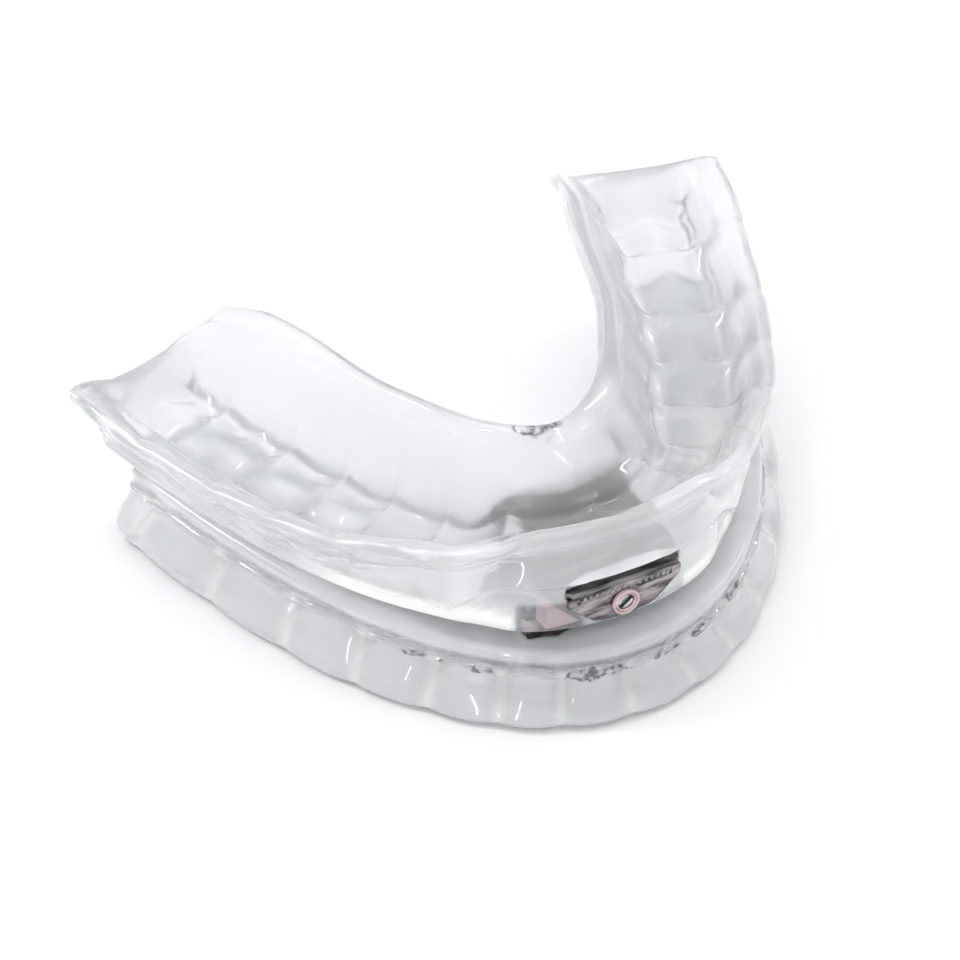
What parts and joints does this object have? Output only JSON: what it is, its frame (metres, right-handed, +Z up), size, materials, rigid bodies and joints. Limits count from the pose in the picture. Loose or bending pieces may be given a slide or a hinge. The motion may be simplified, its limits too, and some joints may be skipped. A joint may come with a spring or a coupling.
{
  "type": "adjustable two-piece dental splint",
  "caption": "Clear two-piece oral splint: an upper and a lower tooth tray on bite pads, coupled at the front by a screw-adjusted hook and a catch bar.",
  "frame": {"origin": "middle of the underside of the lower tray, on the surface it rests on", "axes": "+X across the arch towards the wearer's left, +Y from the front teeth towards the throat, +Z up towards the upper teeth"},
  "size_m": [0.0684, 0.0556, 0.0205],
  "materials": {
    "clear_acrylic": "polished clear acrylic, slightly blue where it is thick",
    "soft_clear_lining": "soft clear lining, slightly hazy",
    "brushed_metal": "dark, finely ground metal",
    "bright_steel": "turned bright metal",
    "rose_silicone": "satin rose silicone",
    "rose_resin": "pale rose resin"
  },
  "bodies": {
    "lower_tray": {"lower_shell": "clear_acrylic", "lower_liner": "soft_clear_lining", "lower_bite_pad": "clear_acrylic", "catch_plate": "brushed_metal", "catch_bar": "brushed_metal"},
    "hook": {"hook": "brushed_metal"},
    "carriage": {"hook_carriage": "brushed_metal"},
    "upper_tray": {"upper_shell": "clear_acrylic", "upper_liner": "soft_clear_lining", "upper_bite_pad": "clear_acrylic", "hook_housing": "brushed_metal", "cover_plate": "brushed_metal", "cover_rivet_1": "brushed_metal", "cover_rivet_2": "brushed_metal", "cover_rivet_3": "brushed_metal", "cover_rivet_4": "brushed_metal", "port_bushing": "bright_steel", "port_seal": "rose_silicone", "housing_shim": "rose_resin"},
    "screw": {"lead_screw": "bright_steel", "thrust_washer": "brushed_metal", "tail_clip": "brushed_metal"}
  },
  "joints": [
    {"name": "jaw_opening", "type": "hinge", "parent": "lower_tray", "child": "hook", "pos_m": [-0.00083, -0.01504, 0.0046], "axis": [1, 0, 0], "range_deg": [0, 5]},
    {"name": "lateral_slide", "type": "slide", "parent": "hook", "child": "carriage", "axis": [1, 0, 0], "range_m": [-0.0024, 0.0024]},
    {"name": "advancement", "type": "slide", "parent": "carriage", "child": "upper_tray", "axis": [0, 1, 0], "range_m": [0, 0.0065]},
    {"name": "screw_turn", "type": "hinge", "parent": "upper_tray", "child": "screw", "pos_m": [-0.00083, -0.02384, 0.0101], "axis": [0, 1, 0], "range_deg": [0, 4700]}
  ],
  "couplings": [
    {"joint": "screw_turn", "follows": "advancement", "rad_per_m": 12566}
  ]
}
